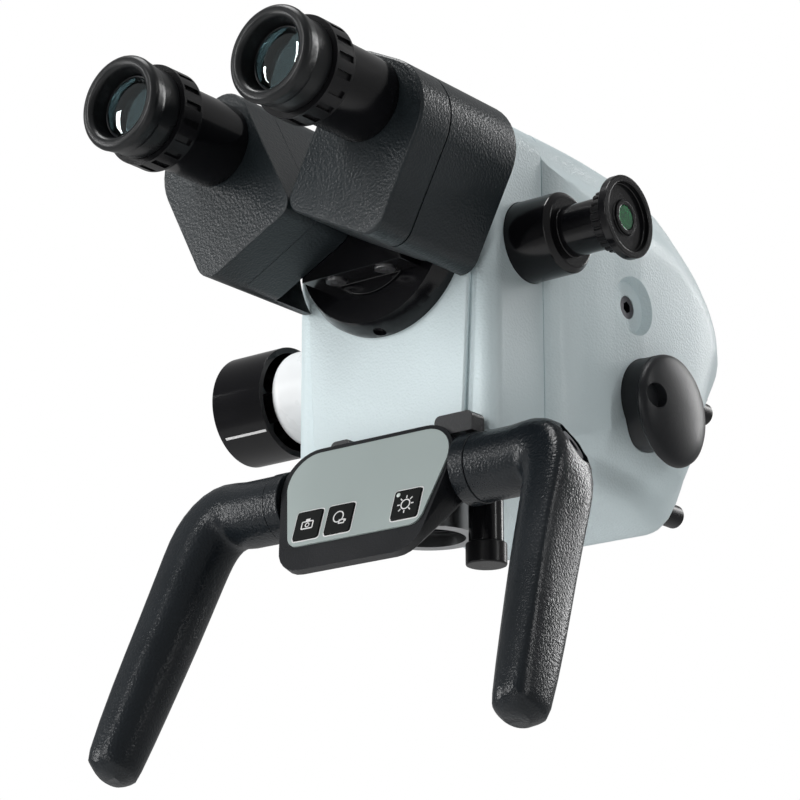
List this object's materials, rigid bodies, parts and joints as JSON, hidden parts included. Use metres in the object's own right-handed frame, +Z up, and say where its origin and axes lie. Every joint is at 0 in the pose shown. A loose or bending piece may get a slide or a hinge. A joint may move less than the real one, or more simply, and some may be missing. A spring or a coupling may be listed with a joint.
{
  "type": "examination microscope",
  "caption": "Examination microscope head with swivelling eyepieces, magnification drum, side camera port, push-key control unit and swinging handles, hung on a stand arm at its tilt bore.",
  "frame": {"origin": "centre of the tilt axis, on the middle plane of the head", "axes": "+X towards the camera port and the friction knob, -Y towards the user and the eyepieces, +Z up"},
  "size_m": [0.2054, 0.3112, 0.2604],
  "materials": {
    "housing_white": "fine-grained light paint",
    "boss_white": "smooth white",
    "box_black": "fine-grained satin black",
    "gloss_black": "gloss black",
    "knob_black": "satin black",
    "rubber_black": "soft black",
    "grip_black": "grained black",
    "control_black": "smooth black",
    "membrane_grey": "matt film",
    "index_white": "filled line",
    "steel": "turned",
    "screw_dark": "blackened",
    "bare_alloy": "machined",
    "dark_alloy": "black anodised",
    "ring_alloy": "satin",
    "eye_glass": "coated",
    "prism_glass": "polished",
    "port_glass": "coated green"
  },
  "bodies": {
    "head": {"front_casing": "housing_white", "front_panel": "housing_white", "rear_casing": "housing_white", "right_shell": "housing_white", "left_shell": "housing_white", "chassis": "bare_alloy", "tilt_sleeve": "bare_alloy", "optics_tower": "dark_alloy", "beam_prism": "prism_glass", "lamp_heatsink": "bare_alloy", "rear_panel": "knob_black", "rear_connectors": "knob_black", "shell_screws": "screw_dark", "mount_ring": "gloss_black", "ring_screw": "steel", "binocular_base": "gloss_black", "base_screws": "steel", "knob_boss": "boss_white", "port_body": "gloss_black", "port_flange": "gloss_black", "port_lens": "port_glass", "friction_collar": "knob_black", "objective_barrel": "dark_alloy", "objective_lens": "eye_glass", "control_bracket": "dark_alloy", "control_body": "control_black", "control_membrane": "membrane_grey", "grip_axle": "steel", "grip_collars": "grip_black"},
    "magnification": {"knob_sleeve": "knob_black", "knob_index": "index_white", "knob_shaft": "steel", "lens_drum": "dark_alloy"},
    "port_iris": {"port_ring": "knob_black"},
    "friction_knob": {"friction_disc": "knob_black", "friction_stud": "steel"},
    "focus_ring": {"objective_ring": "ring_alloy"},
    "lower_knob": {"lower_knob_stem": "gloss_black", "lower_knob_cap": "knob_black"},
    "right_handle": {"right_grip": "grip_black", "right_grip_screw": "screw_dark"},
    "left_handle": {"left_grip": "grip_black", "left_grip_screw": "screw_dark"},
    "photo_key": {"key_photo": "control_black"},
    "record_key": {"key_record": "control_black"},
    "light_key": {"key_light": "control_black"},
    "right_half": {"right_prism_cover": "box_black", "right_prism_housing": "box_black", "right_prism": "prism_glass", "right_tube": "gloss_black"},
    "right_dioptre": {"right_dioptre_ring": "knob_black", "right_eyecup": "rubber_black", "right_eye_lens": "eye_glass"},
    "left_half": {"left_prism_cover": "box_black", "left_prism_housing": "box_black", "left_prism": "prism_glass", "left_tube": "gloss_black"},
    "left_dioptre": {"left_dioptre_ring": "knob_black", "left_eyecup": "rubber_black", "left_eye_lens": "eye_glass"}
  },
  "joints": [
    {"name": "right_swivel", "type": "hinge", "parent": "head", "child": "right_half", "pos_m": [0.012, -0.118, 0.056], "axis": [0, 1, 0], "range_deg": [-14, 3]},
    {"name": "left_swivel", "type": "hinge", "parent": "head", "child": "left_half", "pos_m": [-0.012, -0.118, 0.056], "axis": [0, 1, 0], "range_deg": [-3, 14]},
    {"name": "right_dioptre_turn", "type": "hinge", "parent": "right_half", "child": "right_dioptre", "pos_m": [0.0365, -0.186, 0.086], "axis": [0, 1, 0], "range_deg": [-120, 120]},
    {"name": "left_dioptre_turn", "type": "hinge", "parent": "left_half", "child": "left_dioptre", "pos_m": [-0.0365, -0.186, 0.086], "axis": [0, 1, 0], "range_deg": [-120, 120]},
    {"name": "magnification_turn", "type": "hinge", "parent": "head", "child": "magnification", "pos_m": [-0.06, -0.065, 0.0095], "axis": [1, 0, 0], "continuous": true},
    {"name": "port_iris_turn", "type": "hinge", "parent": "head", "child": "port_iris", "pos_m": [0.088, -0.065, 0.052], "axis": [1, 0, 0], "range_deg": [-45, 45]},
    {"name": "friction_turn", "type": "hinge", "parent": "head", "child": "friction_knob", "pos_m": [0.07, 0, 0], "axis": [1, 0, 0], "range_deg": [-170, 170]},
    {"name": "focus_turn", "type": "hinge", "parent": "head", "child": "focus_ring", "pos_m": [0, -0.065, -0.05], "axis": [0, 0, 1], "range_deg": [-30, 30]},
    {"name": "lower_knob_turn", "type": "hinge", "parent": "head", "child": "lower_knob", "pos_m": [0.031, -0.07, -0.055], "axis": [0, 0, 1], "range_deg": [-170, 170]},
    {"name": "right_handle_swing", "type": "hinge", "parent": "head", "child": "right_handle", "pos_m": [0.06, -0.0945, -0.0445], "axis": [1, 0, 0], "range_deg": [-60, 45]},
    {"name": "left_handle_swing", "type": "hinge", "parent": "head", "child": "left_handle", "pos_m": [-0.06, -0.0945, -0.0445], "axis": [1, 0, 0], "range_deg": [-60, 45]},
    {"name": "photo_press", "type": "slide", "parent": "head", "child": "photo_key", "axis": [0, 0.9511, -0.309], "range_m": [0, 0.0005], "stiffness_N_per_m": 300, "springref_m": -0.001},
    {"name": "record_press", "type": "slide", "parent": "head", "child": "record_key", "axis": [0, 0.9511, -0.309], "range_m": [0, 0.0005], "stiffness_N_per_m": 300, "springref_m": -0.001},
    {"name": "light_press", "type": "slide", "parent": "head", "child": "light_key", "axis": [0, 0.9511, -0.309], "range_m": [0, 0.0005], "stiffness_N_per_m": 300, "springref_m": -0.001}
  ],
  "couplings": [
    {"joint": "left_swivel", "follows": "right_swivel", "ratio": -1}
  ]
}
